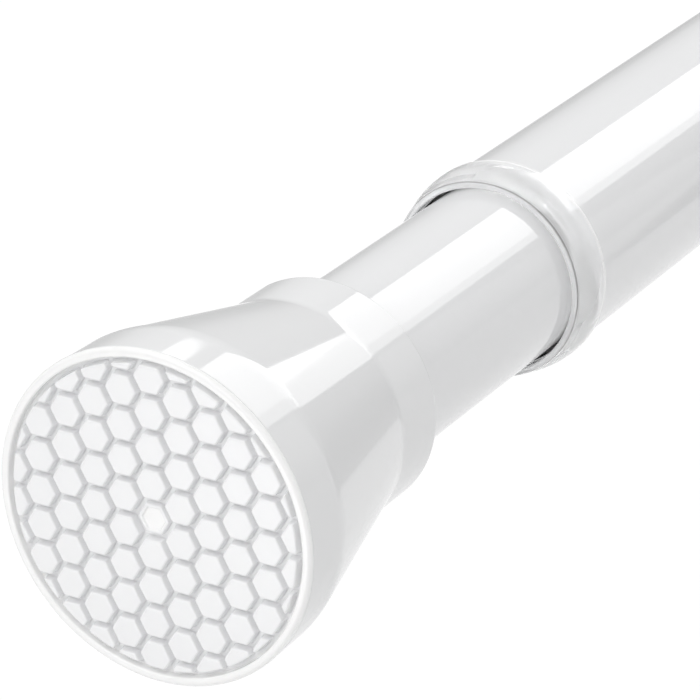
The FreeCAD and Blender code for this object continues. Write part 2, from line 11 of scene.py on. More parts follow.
import bpy
import numpy as np
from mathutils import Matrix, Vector


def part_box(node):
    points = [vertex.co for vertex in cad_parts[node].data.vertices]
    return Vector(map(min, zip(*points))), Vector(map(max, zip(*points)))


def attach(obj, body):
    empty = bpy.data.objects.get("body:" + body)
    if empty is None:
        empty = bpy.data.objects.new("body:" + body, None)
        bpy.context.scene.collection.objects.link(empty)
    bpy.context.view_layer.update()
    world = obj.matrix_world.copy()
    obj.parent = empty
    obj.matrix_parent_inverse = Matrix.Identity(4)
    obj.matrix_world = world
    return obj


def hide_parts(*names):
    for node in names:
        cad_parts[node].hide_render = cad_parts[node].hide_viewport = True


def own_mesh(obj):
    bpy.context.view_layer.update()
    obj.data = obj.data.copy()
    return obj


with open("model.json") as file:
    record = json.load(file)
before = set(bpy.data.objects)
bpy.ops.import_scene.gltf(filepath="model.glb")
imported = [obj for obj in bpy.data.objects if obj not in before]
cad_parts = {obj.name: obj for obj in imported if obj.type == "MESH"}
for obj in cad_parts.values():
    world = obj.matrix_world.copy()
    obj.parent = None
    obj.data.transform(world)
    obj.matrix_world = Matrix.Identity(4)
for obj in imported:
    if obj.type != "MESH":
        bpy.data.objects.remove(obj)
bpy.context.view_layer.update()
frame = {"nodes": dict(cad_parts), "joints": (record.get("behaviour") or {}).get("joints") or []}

bl_info = {
    "name": "Spring tension rod",
    "version": (1, 0, 0),
    "blender": (4, 5, 0),
    "location": "View3D > Sidebar > Tension Rod",
    "description": "Builds the looks of a spring tension rod around its packed model",
    "category": "Object",
}

MM = 0.001
AROUND = 192


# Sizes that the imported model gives.


def span(node):
    """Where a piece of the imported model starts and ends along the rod, and its radius."""
    low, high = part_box(node)
    return low.x, high.x, high.y


ROD_LENGTH = span("front_pad")[1]
TUBE_BACK, TUBE_MOUTH, OUTER_RADIUS = span("outer_tube")
INNER_BACK, INNER_FRONT, INNER_RADIUS = span("inner_tube")
COLLAR_BACK, COLLAR_FRONT, COLLAR_RADIUS = span("collar")
CAP_BACK, CAP_FRONT, CAP_RADIUS = span("rear_cap")
PAD_RADIUS = span("rear_pad")[2]
SPINDLE_BACK, SPINDLE_FRONT, SPINDLE_RADIUS = span("spindle")
SPRING_BACK = span("rear_plug")[1] - 6 * MM
SPRING_FRONT = span("thrust_head")[0] + 5 * MM
STOP_BORE_BACK = span("stop_ring")[0]


def length(name, description, default):
    return bpy.props.FloatProperty(
        name=name, description=description, default=default, min=0.0, precision=5, unit="LENGTH"
    )


def colour(name, description, default):
    return bpy.props.FloatVectorProperty(
        name=name, description=description, default=default, min=0.0, max=1.0, subtype="COLOR"
    )


class RodSizes(bpy.types.PropertyGroup):
    """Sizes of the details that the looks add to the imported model."""

    cell_pitch: length("Cell pitch", "From one honeycomb cell's middle to the next", 3.925 * MM)
    cell_width: length("Cell width", "Across the flats of a raised cell", 3.25 * MM)
    groove_depth: length(
        "Groove depth", "From the cells' faces to the floor between them", 0.95 * MM
    )
    cell_edge: length("Cell edge", "Radius of the edge round a cell's face", 0.2 * MM)
    rim_width: length("Rim width", "Width of the pad's plain rim", 1.03 * MM)
    rim_groove: length("Rim groove", "Groove between the rim and the cells that it clips", 0.6 * MM)
    thread_lead: length("Thread lead", "How far one turn moves the nut", 5.0 * MM)
    thread_depth: length("Thread depth", "From the thread's crest to its root", 0.9 * MM)
    spring_wire: length("Spring wire", "Diameter of the spring's wire", 1.8 * MM)
    spring_radius: length(
        "Spring radius", "From the rod's axis to the middle of the wire", 10.4 * MM
    )
    spring_turns: bpy.props.FloatProperty(
        name="Spring turns", description="Turns of the spring, closed ends included", default=10.5
    )


class RodColours(bpy.types.PropertyGroup):
    """Colours of the finishes."""

    lacquer: colour("Lacquer", "Gloss white on the steel tubes", (0.80, 0.803, 0.81))
    moulding: colour("Moulding", "Gloss white of the caps", (0.80, 0.803, 0.808))
    elastomer: colour("Elastomer", "Milky soft pads", (0.895, 0.897, 0.905))
    backing: colour("Backing", "Satin white plates and adapter", (0.82, 0.82, 0.82))
    clear: colour("Clear plastic", "The collar", (0.97, 0.975, 0.98))
    nylon: colour("Nylon", "Natural plugs, head and stops", (0.78, 0.75, 0.66))
    acetal: colour("Acetal", "Slippery nut and rings", (0.83, 0.83, 0.81))
    zinc: colour("Zinc plate", "Spindle, pins and screws", (0.66, 0.68, 0.70))
    wire: colour("Spring wire", "Oiled spring steel", (0.30, 0.30, 0.32))


class StageSettings(bpy.types.PropertyGroup):
    """The floor, the lamps and the camera."""

    floor_drop: length("Floor drop", "From the rod's axis down to the floor", 0.12)
    camera_reach: length(
        "Camera reach", "From the front pad out to the camera, along the rod", 0.26233
    )
    camera_side: length("Camera side", "From the rod's axis sideways to the camera", 0.17257)
    camera_height: length("Camera height", "From the rod's axis up to the camera", 0.157)
    lens: bpy.props.FloatProperty(
        name="Lens", description="Focal length on a 36 mm sensor", default=177.88, unit="CAMERA"
    )
    fill: bpy.props.FloatProperty(
        name="Fill", description="Brightness of the light from all round", default=0.66
    )


# Shader maths.


class Value:
    """An output socket. Arithmetic on it adds Math nodes to its tree."""

    def __init__(self, recipe, socket):
        self.recipe = recipe
        self.socket = socket

    def math(self, operation, *values):
        sockets = dict(enumerate(values))
        return self.recipe.add("ShaderNodeMath", {"operation": operation}, sockets)

    def __add__(self, other):
        return self.math("ADD", self, other)

    __radd__ = __add__

    def __mul__(self, other):
        return self.math("MULTIPLY", self, other)

    __rmul__ = __mul__

    def __sub__(self, other):
        return self.math("SUBTRACT", self, other)

    def __rsub__(self, other):
        return self.math("SUBTRACT", other, self)


class Recipe:
    """A node tree that is written as expressions."""

    def __init__(self, tree):
        tree.nodes.clear()
        self.tree = tree

    def add(self, kind, settings=None, sockets=None, output=0):
        """Adds a node: its settings first, then the values or links of its sockets."""
        node = self.tree.nodes.new(kind)
        for name, value in (settings or {}).items():
            if name == "stops":
                self.set_stops(node.color_ramp, value)
            else:
                setattr(node, name, value)
        for name, value in (sockets or {}).items():
            if isinstance(value, Value):
                self.tree.links.new(value.socket, node.inputs[name])
            else:
                node.inputs[name].default_value = value
        return Value(self, node.outputs[output])

    def set_stops(self, ramp, stops):
        while len(ramp.elements) < len(stops):
            ramp.elements.new(1.0)
        for element, (position, shade) in zip(ramp.elements, stops):
            element.position = position
            element.color = (shade, shade, shade, 1.0)

    def place(self):
        return self.add("ShaderNodeTexCoord", output="Object")

    def ray(self, what):
        """What the Light Path node says of the ray that meets the surface."""
        return self.add("ShaderNodeLightPath", output=what)

    def from_axis(self, place):
        """The distance from the rod's axis: the length of (0, y, z)."""
        across = self.stretched(place, (0, 1, 1))
        return self.add("ShaderNodeVectorMath", {"operation": "LENGTH"}, {0: across}, "Value")

    def fade(self, value, low, high, start=0.0, end=1.0):
        """Start up to low, end from high on, and a straight run between."""
        return self.add("ShaderNodeMapRange", None, {0: value, 1: low, 2: high, 3: start, 4: end})

    def noise(self, vector, scale, detail=2.0):
        sockets = {"Vector": vector, "Scale": scale, "Detail": detail}
        return self.add("ShaderNodeTexNoise", None, sockets, "Fac")

    def stretched(self, vector, factors):
        return self.add("ShaderNodeVectorMath", {"operation": "MULTIPLY"}, {0: vector, 1: factors})

    def ramp(self, value, stops):
        return self.add("ShaderNodeValToRGB", {"stops": stops}, {"Fac": value})

    def mix(self, amount, first, second):
        """The first colour, and where amount is 1 the second."""
        sockets = {"Factor": amount, 6: first, 7: second}
        return self.add("ShaderNodeMix", {"data_type": "RGBA"}, sockets, 2)

    def shade(self, paint, darker, amount):
        """The colour, and where amount is 1 the colour times darker."""
        low = [channel * darker for channel in paint]
        return self.mix(amount, (*paint, 1.0), (*low, 1.0))

    def bump(self, height, depth):
        sockets = {"Strength": 1.0, "Distance": depth, "Height": height}
        return self.add("ShaderNodeBump", None, sockets)

    def finish(self, shader):
        """Adds the output node, which has no socket to give back."""
        of_world = any(world.node_tree == self.tree for world in bpy.data.worlds)
        kind = "ShaderNodeOutputWorld" if of_world else "ShaderNodeOutputMaterial"
        node = self.tree.nodes.new(kind)
        self.tree.links.new(shader.socket, node.inputs["Surface"])


def new_material(name):
    material = bpy.data.materials.new(name)
    material.use_nodes = True
    return material, Recipe(material.node_tree)


def gloss_white(name, paint, grain):
    """A white gloss: sharp reflections, a faint orange peel and slow changes of tone."""
    material, recipe = new_material(name)
    place = recipe.place()
    cloud = recipe.noise(place, 60.0, 3.0)
    peel = recipe.noise(place, grain, 2.0)
    sockets = {
        "Base Color": recipe.shade(paint, 0.985, cloud),
        "Roughness": recipe.ramp(recipe.noise(place, 220.0, 3.0), [(0.3, 0.045), (0.7, 0.075)]),
        "IOR": 1.6,
        "Normal": recipe.bump(peel, 0.0000012),
    }
    recipe.finish(recipe.add("ShaderNodeBsdfPrincipled", None, sockets))
    return material


def milky_elastomer(name, paint):
    """A soft, milky moulding: light goes into it, and its colour is whiter on the rim, a painted
    highlight, and in the gate pocket.
    """
    material, recipe = new_material(name)
    place = recipe.place()
    skin = recipe.noise(place, 900.0, 2.0)
    away = recipe.from_axis(place)
    # Painted highlight: the rim gets a whiter colour where its rounded edge catches the light. The
    # gate pocket is whiter too.
    rim = recipe.fade(away, 17.3 * MM, 17.6 * MM)
    gate = 1 - recipe.fade(away, 1.1 * MM, 1.5 * MM)
    body = recipe.shade(paint, 0.985, recipe.noise(place, 140.0, 2.0))
    sockets = {
        "Base Color": recipe.mix(rim + gate, body, (0.955, 0.955, 0.95, 1)),
        "Roughness": recipe.ramp(skin, [(0.3, 0.16), (0.7, 0.2)]),
        "IOR": 1.5,
        "Subsurface Weight": 0.2,
        "Subsurface Radius": (1.0, 1.0, 0.95),
        "Subsurface Scale": 0.0003,
        "Normal": recipe.bump(skin, 0.0000008),
    }
    recipe.finish(recipe.add("ShaderNodeBsdfPrincipled", None, sockets))
    return material


def clear_plastic(name, paint, rim):
    """A slightly milky clear moulding with the faint waves of its flow lines.

    It is white behind rim, a place along the rod: a painted highlight on its back edge.
    Round its nose it has a fine painted dark line, where the ring's refraction shows dark.
    Shadow rays and diffuse rays go straight through, so that what lies under the plastic keeps its
    light.
    """
    material, recipe = new_material(name)
    place = recipe.place()
    flow = recipe.noise(recipe.stretched(place, (400.0, 90.0, 90.0)), 1.0, 2.0)
    sockets = {
        "Base Color": recipe.shade(paint, 0.99, flow),
        "Roughness": recipe.ramp(recipe.noise(place, 500.0, 3.0), [(0.35, 0.04), (0.7, 0.08)]),
        "IOR": 1.49,
        "Transmission Weight": 0.8,
        "Normal": recipe.bump(flow, 0.0000008),
    }
    moulding = recipe.add("ShaderNodeBsdfPrincipled", None, sockets)
    shadow = recipe.ray("Is Shadow Ray")
    through = shadow.math("MAXIMUM", shadow, recipe.ray("Is Diffuse Ray"))
    open_way = recipe.add("ShaderNodeBsdfTransparent", None, {"Color": (0.97, 0.97, 0.97, 1)})
    along = recipe.add("ShaderNodeSeparateXYZ", None, {0: place}, "X")
    # Painted highlight: behind rim the plastic turns mostly white, where its back edge catches the
    # light. Elsewhere it is a little milky.
    milk_and_rim_highlight = recipe.fade(along, rim - 0.1 * MM, rim, start=0.85, end=0.1)
    away = recipe.from_axis(place)
    # Painted dark line round the nose, where the ring's refraction shows dark.
    inner = recipe.fade(away, 12.10 * MM, 12.14 * MM)
    outer = 1 - recipe.fade(away, 12.20 * MM, 12.25 * MM)
    line = inner * outer
    edge = milk_and_rim_highlight.math("MAXIMUM", milk_and_rim_highlight, line * 0.7)
    # white is the milky white and the painted highlight; dark is the painted dark line.
    white, dark = (0.98, 0.98, 0.98, 1), (0.2, 0.2, 0.2, 1)
    milk_and_painted_marks_look = {"Base Color": recipe.mix(line, white, dark), "Roughness": 0.2}
    # One shader for the milky white, the painted highlight and the painted dark line.
    milk_and_painted_marks = recipe.add("ShaderNodeBsdfPrincipled", None, milk_and_painted_marks_look)
    solid = recipe.add("ShaderNodeMixShader", None, {0: edge, 1: moulding, 2: milk_and_painted_marks})
    recipe.finish(recipe.add("ShaderNodeMixShader", None, {0: through, 1: solid, 2: open_way}))
    return material


def satin_moulding(name, paint, rough, grain):
    """A satin or dull moulding with a fine spark-eroded grain."""
    material, recipe = new_material(name)
    place = recipe.place()
    speck = recipe.noise(place, grain, 4.0)
    sockets = {
        "Base Color": recipe.shade(paint, 0.94, recipe.noise(place, 90.0, 4.0)),
        "Roughness": recipe.ramp(speck, [(0.3, rough - 0.06), (0.7, rough + 0.08)]),
        "IOR": 1.5,
        "Normal": recipe.bump(speck, 0.000008),
    }
    recipe.finish(recipe.add("ShaderNodeBsdfPrincipled", None, sockets))
    return material


def drawn_metal(name, paint, rough, along):
    """Bare or plated metal with drawing lines along it and a mottled film."""
    material, recipe = new_material(name)
    place = recipe.place()
    lines = recipe.noise(recipe.stretched(place, along), 1.0, 3.0)
    film = recipe.noise(place, 260.0, 4.0)
    sockets = {
        "Base Color": recipe.shade(paint, 0.72, film),
        "Metallic": 1.0,
        "Roughness": recipe.ramp(lines, [(0.3, rough - 0.08), (0.75, rough + 0.12)]),
        "Normal": recipe.bump(lines, 0.000006),
    }
    recipe.finish(recipe.add("ShaderNodeBsdfPrincipled", None, sockets))
    return material


# Surfaces.


def grid_faces(rows, columns, first=0, wrap_rows=False):
    """Four-cornered faces of a grid whose columns close into a ring."""
    row = np.arange(rows if wrap_rows else rows - 1)[:, None]
    column = np.arange(columns)[None, :]
    after_row = (row + 1) % rows
    after_column = (column + 1) % columns
    corners = (
        row * columns + column,
        row * columns + after_column,
        after_row * columns + after_column,
        after_row * columns + column,
    )
    return first + np.stack(corners, axis=-1).reshape(-1, 4)


def fan_faces(ring, middle, columns):
    """Triangles from one ring of a grid to a single point."""
    column = np.arange(columns)
    after = (column + 1) % columns
    return np.stack((ring + column, ring + after, np.full(columns, middle)), axis=-1)


def new_piece(name, points, quads, triangles, material, slot, body, replaced):
    """Puts the arrays into a mesh, turns it outwards, and fixes the piece to its body."""
    loops = np.concatenate([quads.ravel(), triangles.ravel()]).astype(np.int32)
    starts = np.concatenate(
        [np.arange(len(quads)) * 4, len(quads) * 4 + np.arange(len(triangles)) * 3]
    ).astype(np.int32)
    mesh = bpy.data.meshes.new(name)
    mesh.vertices.add(len(points))
    mesh.vertices.foreach_set("co", points.astype(np.float32).ravel())
    mesh.loops.add(len(loops))
    mesh.loops.foreach_set("vertex_index", loops)
    mesh.polygons.add(len(starts))
    mesh.polygons.foreach_set("loop_start", starts)
    mesh.polygons.foreach_set("use_smooth", np.ones(len(starts), dtype=bool))
    mesh.update(calc_edges=True)
    if mesh.validate(verbose=True):
        raise RuntimeError(f"{name} has faces that can't be used")
    if volume(points, quads, triangles) < 0:
        mesh.flip_normals()
    mesh.set_sharp_from_angle(angle=math.radians(38))
    mesh.materials.append(material)
    piece = bpy.data.objects.new(name, mesh)
    bpy.context.scene.collection.objects.link(piece)
    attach(piece, body)
    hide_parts(*replaced)
    return piece


def volume(points, quads, triangles):
    """Six times the volume that the faces enclose, positive if they point outwards."""
    halves = np.concatenate([quads[:, [0, 1, 2]], quads[:, [0, 2, 3]], triangles])
    a, b, c = (points[halves[:, i]] for i in range(3))
    return float(np.einsum("ij,ij->i", a, np.cross(b, c)).sum())


def rounded(corners, steps=8):
    """A line through (along, radius, rounding) corners.

    Each corner with a rounding becomes an arc: it starts and ends where a circle
    of that radius touches the two sides, and its points lie at equal angles.
    """
    spots = np.array([corner[:2] for corner in corners], float)
    line = []
    for i, here in enumerate(spots):
        rounding = corners[i][2]
        before = spots[i - 1] - here
        after = spots[(i + 1) % len(spots)] - here
        if rounding <= 0:
            line.append(here[None, :])
            continue
        before = before / np.linalg.norm(before)
        after = after / np.linalg.norm(after)
        half = math.acos(np.clip(before @ after, -1, 1)) / 2
        inward = (before + after) / np.linalg.norm(before + after)
        middle = here + inward * rounding / math.sin(half)
        start = here + before * rounding / math.tan(half) - middle
        turn = math.pi - 2 * half
        side = np.sign(start[1] * before[0] - start[0] * before[1])
        angles = side * np.linspace(0, turn, steps + 1)
        cos, sin = np.cos(angles), np.sin(angles)
        arc = np.stack((start[0] * cos - start[1] * sin, start[0] * sin + start[1] * cos), axis=-1)
        line.append(middle + arc)
    return np.concatenate(line)


def held_flat(line, closed=True):
    """Adds a point close to each end of every long side, so that the sides shade flat."""
    near = 0.05 * MM
    after = np.roll(line, -1, axis=0)
    step = after - line
    far = np.linalg.norm(step, axis=1)
    if not closed:
        far[-1] = 0
    long = far > 6 * near
    ahead = step[long] / far[long][:, None] * near
    place = np.flatnonzero(long) + 1
    every = np.concatenate([place, place])
    return np.insert(line, every, np.concatenate([line[long] + ahead, after[long] - ahead]), axis=0)


def ringed(line, around=AROUND):
    """Carries a line of (along, radius) points round the rod's axis."""
    angle = np.linspace(0, 2 * np.pi, around, endpoint=False)
    along = np.repeat(line[:, :1], around, axis=1)
    y = line[:, 1:] * np.cos(angle)
    z = line[:, 1:] * np.sin(angle)
    return np.stack((along, y, z), axis=-1).reshape(-1, 3)


def turned_shape(line):
    """A solid turned from a closed line, or from an open one that starts and ends on the axis."""
    nothing = np.zeros((0, 3), int)
    closed = line[0, 1] > 0
    line = held_flat(line, closed)
    if closed:
        return ringed(line), grid_faces(len(line), AROUND, wrap_rows=True), nothing
    inside = line[1:-1]
    rings = ringed(inside)
    poles = np.array([[line[0, 0], 0, 0], [line[-1, 0], 0, 0]])
    last = len(rings) - AROUND
    triangles = np.concatenate(
        [
            fan_faces(0, len(rings), AROUND)[:, ::-1],
            fan_faces(last, len(rings) + 1, AROUND),
        ]
    )
    return np.concatenate([rings, poles]), grid_faces(len(inside), AROUND), triangles


def facing(points, front):
    """Turns a rear end's points half round about +Z, out to the front end."""
    if not front:
        return points
    return points * (-1, -1, 1) + (ROD_LENGTH, 0, 0)


def joined(*shapes):
    """Several (points, quads, triangles) as one."""
    points, quads, triangles, first = [], [], [], 0
    for shape in shapes:
        points.append(shape[0])
        quads.append(shape[1] + first)
        triangles.append(shape[2] + first)
        first += len(shape[0])
    return np.concatenate(points), np.concatenate(quads), np.concatenate(triangles)


# The honeycomb pad.


def cell_middles(sizes, field):
    """Middles of the cells that are wholly or partly inside the field, with the gate left out."""
    columns = np.arange(-7, 8)
    rows = np.arange(-7, 8)
    column, row = (a.ravel() for a in np.meshgrid(columns, rows))
    halves = 2 * row + column % 2
    y = sizes.cell_pitch * column * math.sqrt(3) / 2
    z = sizes.cell_pitch * halves / 2
    corner = sizes.cell_width / math.sqrt(3)
    away = np.hypot(y, z)
    kept = (away < field + corner * 0.75) & (away > 0)
    return np.stack((y[kept], z[kept]), axis=-1)


def cell_outlines(sizes, field, middles, inset, angles):
    """How far each cell's edge is from its own centre, at each angle.

    A cell is where a hexagon and the round field overlap. Seen from a point
    inside, its edge is the nearest of the six sides and the field's edge. The
    nearest is taken as a sum of high negative powers, which rounds the corners.
    """
    normals = np.radians(30 + 60 * np.arange(6))
    across = np.stack((np.cos(normals), np.sin(normals)), axis=-1)
    half = sizes.cell_width / 2
    steps = np.linspace(-1.2, 1.2, 49) * half
    grid = np.stack(np.meshgrid(steps, steps), axis=-1).reshape(-1, 2)
    in_cell = (grid @ across.T).max(axis=1) <= half
    grid = grid[in_cell]
    spots = middles[:, None, :] + grid[None, :, :]
    in_field = np.hypot(spots[..., 0], spots[..., 1]) < field
    centres = (spots * in_field[..., None]).sum(axis=1) / in_field.sum(axis=1)[:, None]
    side = half - (centres - middles) @ across.T - inset
    turn = np.cos(angles[None, :, None] - normals[None, None, :])
    reach = np.where(turn > 1e-3, side[:, None, :] / np.maximum(turn, 1e-3), 1.0)
    ray = np.stack((np.cos(angles), np.sin(angles)), axis=-1)
    ahead = centres @ ray.T
    square = ahead**2 + (field - inset) ** 2 - (centres**2).sum(axis=1)[:, None]
    edge = -ahead + np.sqrt(np.maximum(square, 1e-12))
    every = np.concatenate([reach, edge[..., None]], axis=-1) / half
    power = 36.0
    return centres, half * (np.maximum(every, 1e-3) ** -power).sum(axis=-1) ** (-1 / power)


def raised_cells(sizes, field, middles, drop):
    """Raised cells: each edge line is carried up its wall, round its edge and in over its face."""
    around = 60
    angles = np.linspace(0, 2 * np.pi, around, endpoint=False)
    bend = np.radians(np.linspace(0, 90, 6))
    round_inset = sizes.cell_edge * (1 - np.cos(bend))
    round_height = drop + sizes.cell_edge * (1 - np.sin(bend))
    floor = sizes.groove_depth
    insets = np.concatenate([[-0.14 * MM, -0.07 * MM, -0.03 * MM], round_inset])
    foot = [floor + 0.02 * MM, floor - 0.05 * MM, floor - 0.16 * MM]
    heights = np.concatenate([foot, round_height])
    rings = []
    for inset, height in zip(insets, heights):
        centres, reach = cell_outlines(sizes, field, middles, inset, angles)
        rings.append((reach, height))
    for share in (0.96, 0.5):
        rings.append((rings[len(insets) - 1][0] * share, drop))
    reach = np.stack([ring[0] for ring in rings], axis=1)
    height = np.array([ring[1] for ring in rings])
    y = centres[:, None, None, 0] + reach * np.cos(angles)
    z = centres[:, None, None, 1] + reach * np.sin(angles)
    x = np.broadcast_to(height[None, :, None], y.shape)
    points = np.stack((x, y, z), axis=-1)
    count, layers = points.shape[:2]
    points = points.reshape(-1, 3)
    tops = np.stack((np.full(count, drop), centres[:, 0], centres[:, 1]), axis=-1)
    bottoms = np.stack((np.full(count, floor + 0.02 * MM), centres[:, 0], centres[:, 1]), axis=-1)
    first = np.arange(count)[:, None, None] * layers * around
    quads = (first + grid_faces(layers, around)[None]).reshape(-1, 4)
    total = len(points)
    crown = fan_faces((layers - 1) * around, 0, around)
    base = fan_faces(0, 0, around)[:, ::-1]
    crowns = first + crown[None]
    bases = first + base[None]
    crowns[..., 2] = (total + np.arange(count))[:, None]
    bases[..., 0] = (total + count + np.arange(count))[:, None]
    triangles = np.concatenate([crowns.reshape(-1, 3), bases.reshape(-1, 3)])
    return np.concatenate([points, tops, bottoms]), quads, triangles


def gate_cell(sizes):
    """The lower middle cell over its moulding gate: a low hexagon with a hexagonal pocket."""
    around = 60
    angles = np.linspace(0, 2 * np.pi, around, endpoint=False)
    floor = sizes.groove_depth
    middles = np.zeros((1, 2))
    outline = [
        (-0.10, floor / MM + 0.02),
        (-0.02, floor / MM - 0.12),
        (0.0, 0.47),
        (0.05, 0.38),
        (0.12, 0.35),
        (0.30, 0.35),
        (0.36, 0.37),
        (0.42, 0.5),
        (0.48, 0.55),
        (0.9, 0.55),
        (1.3, 0.55),
    ]
    rings = []
    for inset, height in outline:
        reach = cell_outlines(sizes, 1.0, middles, inset * MM, angles)[1][0]
        rings.append((reach, height * MM))
    reach = np.stack([ring[0] for ring in rings])
    height = np.array([ring[1] for ring in rings])
    x = np.broadcast_to(height[:, None], reach.shape)
    points = np.stack((x, reach * np.cos(angles), reach * np.sin(angles)), axis=-1).reshape(-1, 3)
    total = len(points)
    poles = np.array([[0.55 * MM, 0, 0], [floor + 0.02 * MM, 0, 0]])
    quads = grid_faces(len(rings), around)
    crown = fan_faces((len(rings) - 1) * around, total, around)
    base = fan_faces(0, total + 1, around)[:, ::-1]
    return np.concatenate([points, poles]), quads, np.concatenate([crown, base])


def pad_base(sizes):
    """The pad's floor and rim, its flange over the cap's lip, and its stud."""
    rim = PAD_RADIUS - sizes.rim_width
    floor = sizes.groove_depth
    flange = 0.6 * MM
    plug = PAD_RADIUS - 0.7 * MM
    back = 1.9 * MM
    stud_back = 3.5 * MM
    line = rounded(
        [
            (floor, rim, 0.15 * MM),
            (0, rim, 0.22 * MM),
            (0, PAD_RADIUS, 0.5 * MM),
            (flange, PAD_RADIUS, 0.06 * MM),
            (flange, plug, 0),
            (back, plug, 0.1 * MM),
            (back, 2.0 * MM, 0),
            (stud_back, 2.0 * MM, 0.2 * MM),
        ]
    )
    start = np.array([[floor, 0.0], [floor, rim * 0.5]])
    end = np.array([[stud_back, 0.0]])
    return turned_shape(np.concatenate([start, line, end]))


class ROD_OT_pads(bpy.types.Operator):
    """Mould the two honeycomb pads"""

    bl_idname = "rod.pads"
    bl_label = "Honeycomb pads"

    def execute(self, context):
        sizes = context.scene.rod_sizes
        paint = context.scene.rod_colours.elastomer
        material = milky_elastomer("Milky elastomer", paint)
        field = PAD_RADIUS - sizes.rim_width - sizes.rim_groove
        middles = cell_middles(sizes, field)
        shape = joined(
            pad_base(sizes), raised_cells(sizes, field, middles, 0.0), gate_cell(sizes)
        )
        for end, body in (("rear", "outer_rod"), ("front", "inner_rod")):
            points = facing(shape[0], end == "front")
            name = f"{end}_honeycomb_pad"
            replaced = [f"{end}_pad"]
            new_piece(name, points, *shape[1:], material, "clear_elastomer", body, replaced)
        return {"FINISHED"}


# The caps.


def cap_shape():
    """The cap's turned shell: band, crease, cone and neck, and its sockets and snap groove."""
    band = PAD_RADIUS - 0.1 * MM
    neck = CAP_FRONT
    corners = [
        (0.6, PAD_RADIUS / MM, 0.12),
        (6.7, band / MM, 10.0),
        (28.2, 13.61, 6.0),
        (neck / MM, 13.61, 0.4),
        (neck / MM, 12.55, 0.15),
        (8.0, 12.55, 0),
        (8.0, 1.6, 0),
        (6.5, 1.6, 0),
        (6.5, 13.9, 0),
        (17.0, 13.9, 0.3),
        (17.0, 14.335, 0.15),
        (6.7, 16.7, 0),
        (6.1, 16.7, 0),
        (6.1, 17.2, 0),
        (4.9, 17.2, 0),
        (4.9, 16.7, 0),
        (3.5, 16.7, 0),
        (3.5, 17.3, 0),
        (1.9, 17.3, 0),
        (1.9, 18.0, 0),
        (0.6, 18.0, 0.1),
    ]
    line = rounded([(a * MM, r * MM, e * MM) for a, r, e in corners], steps=14)
    return turned_shape(line)


def rib_shape():
    """Six ribs in the cap's hollow: a four-sided outline given its thickness, turned round."""
    outline = np.array([(7.1, 13.7), (17.2, 13.7), (17.2, 14.5), (7.1, 16.8)]) * MM
    half = 0.7 * MM
    sheet = np.stack((outline[:, 0], np.zeros(4), outline[:, 1]), axis=-1)
    box = np.concatenate([sheet - (0, half, 0), sheet + (0, half, 0)])
    corner = np.arange(4)
    after = (corner + 1) % 4
    sides = np.stack((corner, after, after + 4, corner + 4), axis=-1)
    quads = np.concatenate([sides, [[3, 2, 1, 0]], [[4, 5, 6, 7]]])
    angle = np.radians(60 * np.arange(6))[:, None]
    y = box[None, :, 1] * np.cos(angle) - box[None, :, 2] * np.sin(angle)
    z = box[None, :, 1] * np.sin(angle) + box[None, :, 2] * np.cos(angle)
    x = np.broadcast_to(box[None, :, 0], y.shape)
    points = np.stack((x, y, z), axis=-1).reshape(-1, 3)
    every = (np.arange(6)[:, None, None] * 8 + quads[None]).reshape(-1, 4)
    return points, every, np.zeros((0, 3), int)


class ROD_OT_caps(bpy.types.Operator):
    """Mould the two flared caps"""

    bl_idname = "rod.caps"
    bl_label = "Flared caps"

    def execute(self, context):
        paint = context.scene.rod_colours.moulding
        material = gloss_white("Gloss moulding", paint, 900.0)
        shape = joined(cap_shape(), rib_shape())
        for end, body in (("rear", "outer_rod"), ("front", "inner_rod")):
            points = facing(shape[0], end == "front")
            name = f"{end}_flared_cap"
            new_piece(name, points, *shape[1:], material, "white_abs", body, [f"{end}_cap"])
        return {"FINISHED"}


# The tubes and the collar.


def tube_shape(back, front, radius, wall):
    """A drawn tube: an outer and an inner wall joined by slightly rounded ends."""
    bore = radius - wall
    edge = min(0.18 * MM, 0.3 * wall)
    corners = [(back, radius, edge), (front, radius, edge), (front, bore, edge), (back, bore, edge)]
    return turned_shape(rounded(corners, steps=5))


def lipped_tube():
    """The thick tube: drawn like the thin one, with a narrow lip rolled in at its mouth."""
    bore = OUTER_RADIUS - 0.7 * MM
    lip = 11.4 * MM
    edge = 0.18 * MM
    corners = [
        (TUBE_BACK, OUTER_RADIUS, edge),
        (TUBE_MOUTH, OUTER_RADIUS, edge),
        (TUBE_MOUTH, lip, edge),
        (TUBE_MOUTH - 0.6 * MM, lip, 0.1 * MM),
        (TUBE_MOUTH - 0.6 * MM, bore, 0.05 * MM),
        (TUBE_BACK, bore, edge),
    ]
    return turned_shape(rounded(corners, steps=5))


